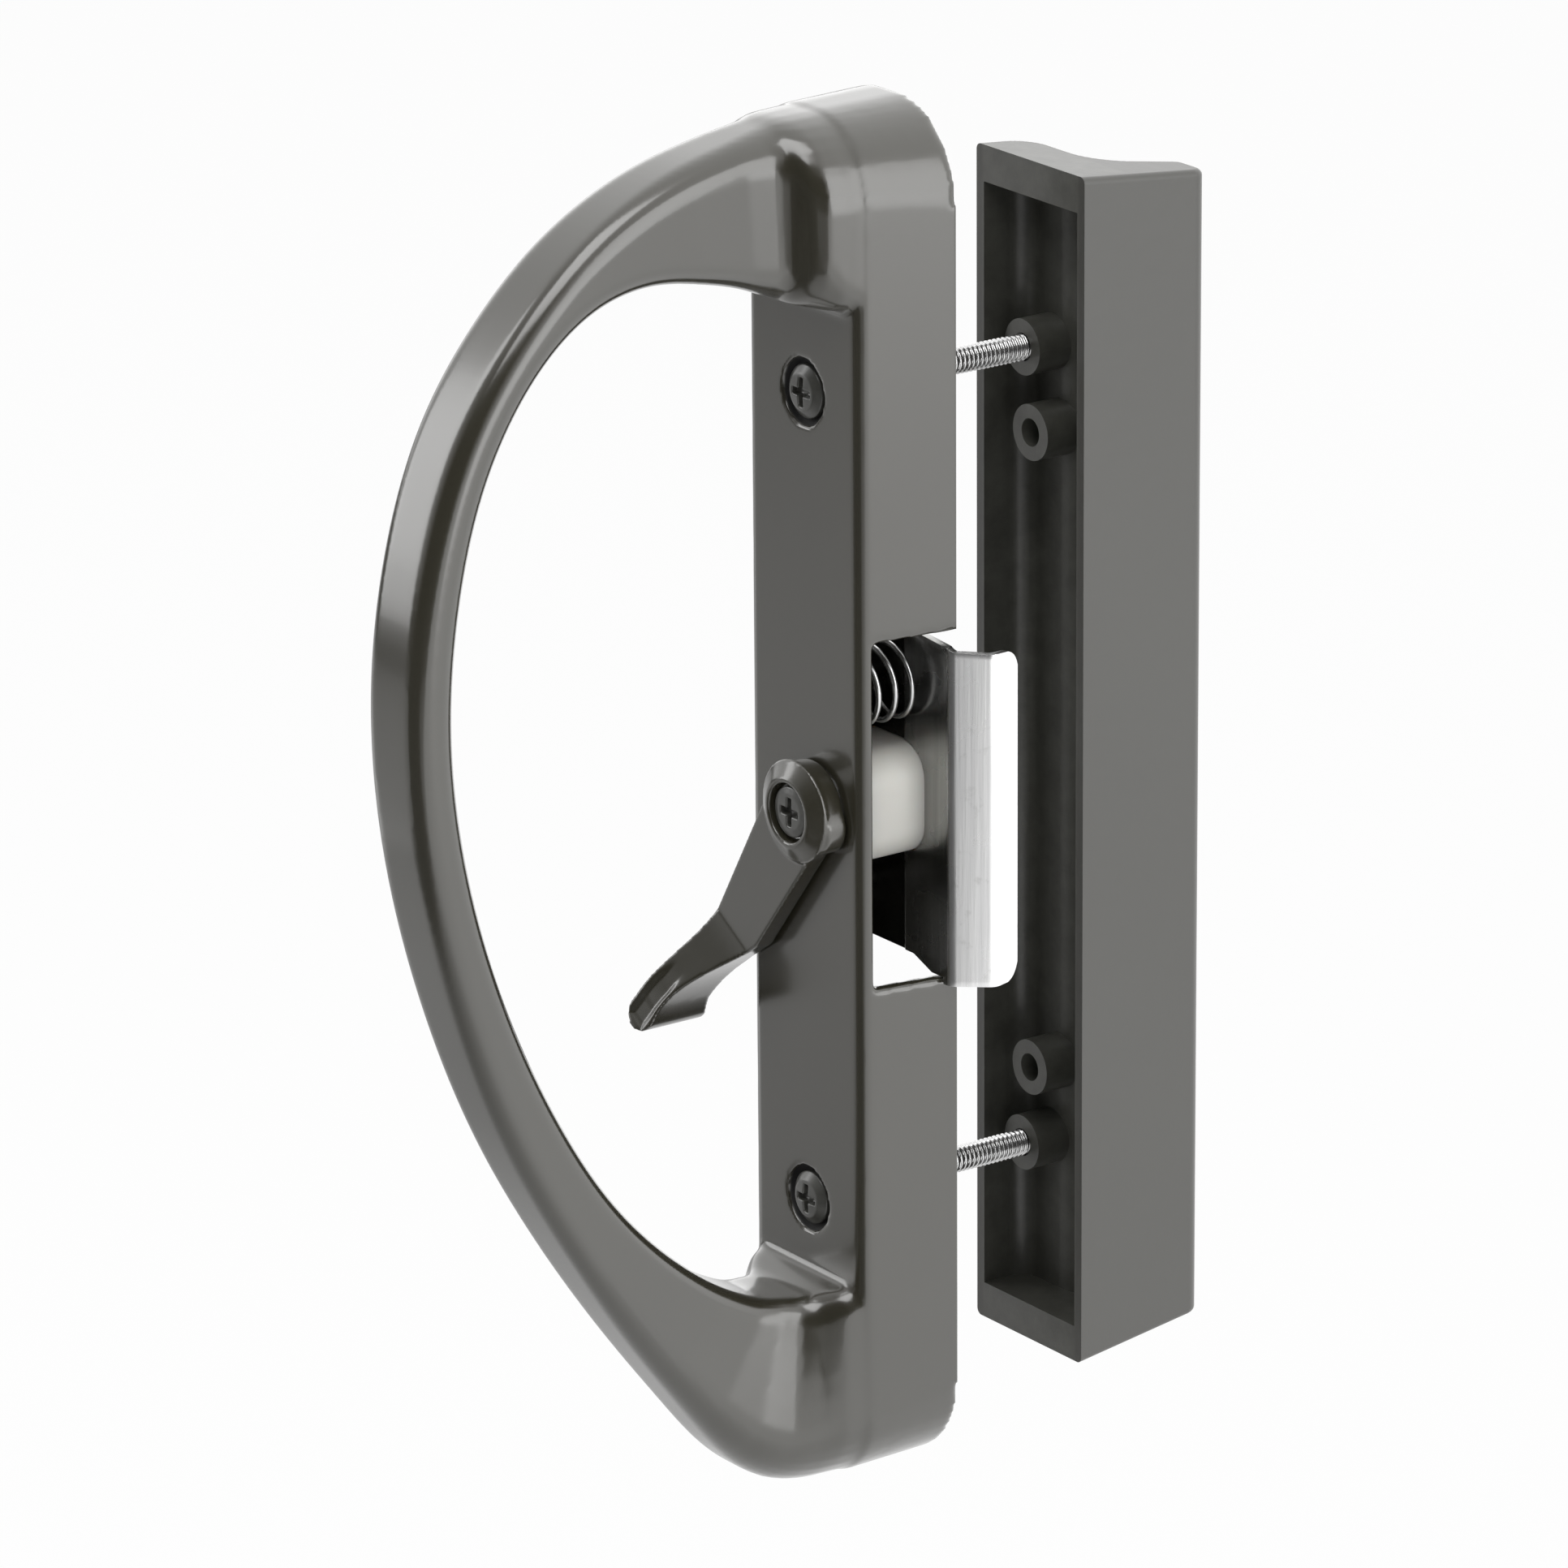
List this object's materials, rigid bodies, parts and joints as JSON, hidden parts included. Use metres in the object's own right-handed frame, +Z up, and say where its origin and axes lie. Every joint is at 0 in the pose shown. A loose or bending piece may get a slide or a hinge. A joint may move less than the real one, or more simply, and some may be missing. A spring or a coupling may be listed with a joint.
{
  "type": "sliding patio door handle",
  "caption": "Sliding patio door handle set: inside D-grip on a slim housing with a thumb lever and sprung clamp latch, and an outside finger pull, joined by two machine screws.",
  "frame": {"origin": "on the housing's mounting face, on the line of the two mounting screws, midway between them", "axes": "+Z up, -Y towards the room, +Y towards the garden, +X towards the closing edge of the door"},
  "size_m": [0.049, 0.1325, 0.2113],
  "materials": {
    "black_gloss": "gloss",
    "black_satin": "satin",
    "black_screw": "satin",
    "zinc": "zinc plated",
    "washer_steel": "satin",
    "white_nylon": "matte"
  },
  "bodies": {
    "handle": {"handle_casting": "black_gloss", "exterior_pull": "black_satin", "lever_washer": "washer_steel", "clamp_spring": "zinc", "mounting_screw_upper": "zinc", "mounting_screw_lower": "zinc"},
    "lever": {"thumb_lever": "black_gloss", "lever_screw": "black_screw", "latch_cam": "white_nylon"},
    "clamp": {"clamp_jaw": "zinc"}
  },
  "joints": [
    {"name": "lever_pivot", "type": "hinge", "parent": "handle", "child": "lever", "pos_m": [0.003, -0.016, 0], "axis": [0, 1, 0], "range_deg": [0, 90]},
    {"name": "clamp_slide", "type": "slide", "parent": "handle", "child": "clamp", "axis": [0, -1, 0], "range_m": [0, 0.003], "deforming": ["clamp_spring"]}
  ],
  "couplings": [
    {"joint": "clamp_slide", "follows": "lever_pivot", "m_per_rad": 0.0019099}
  ]
}
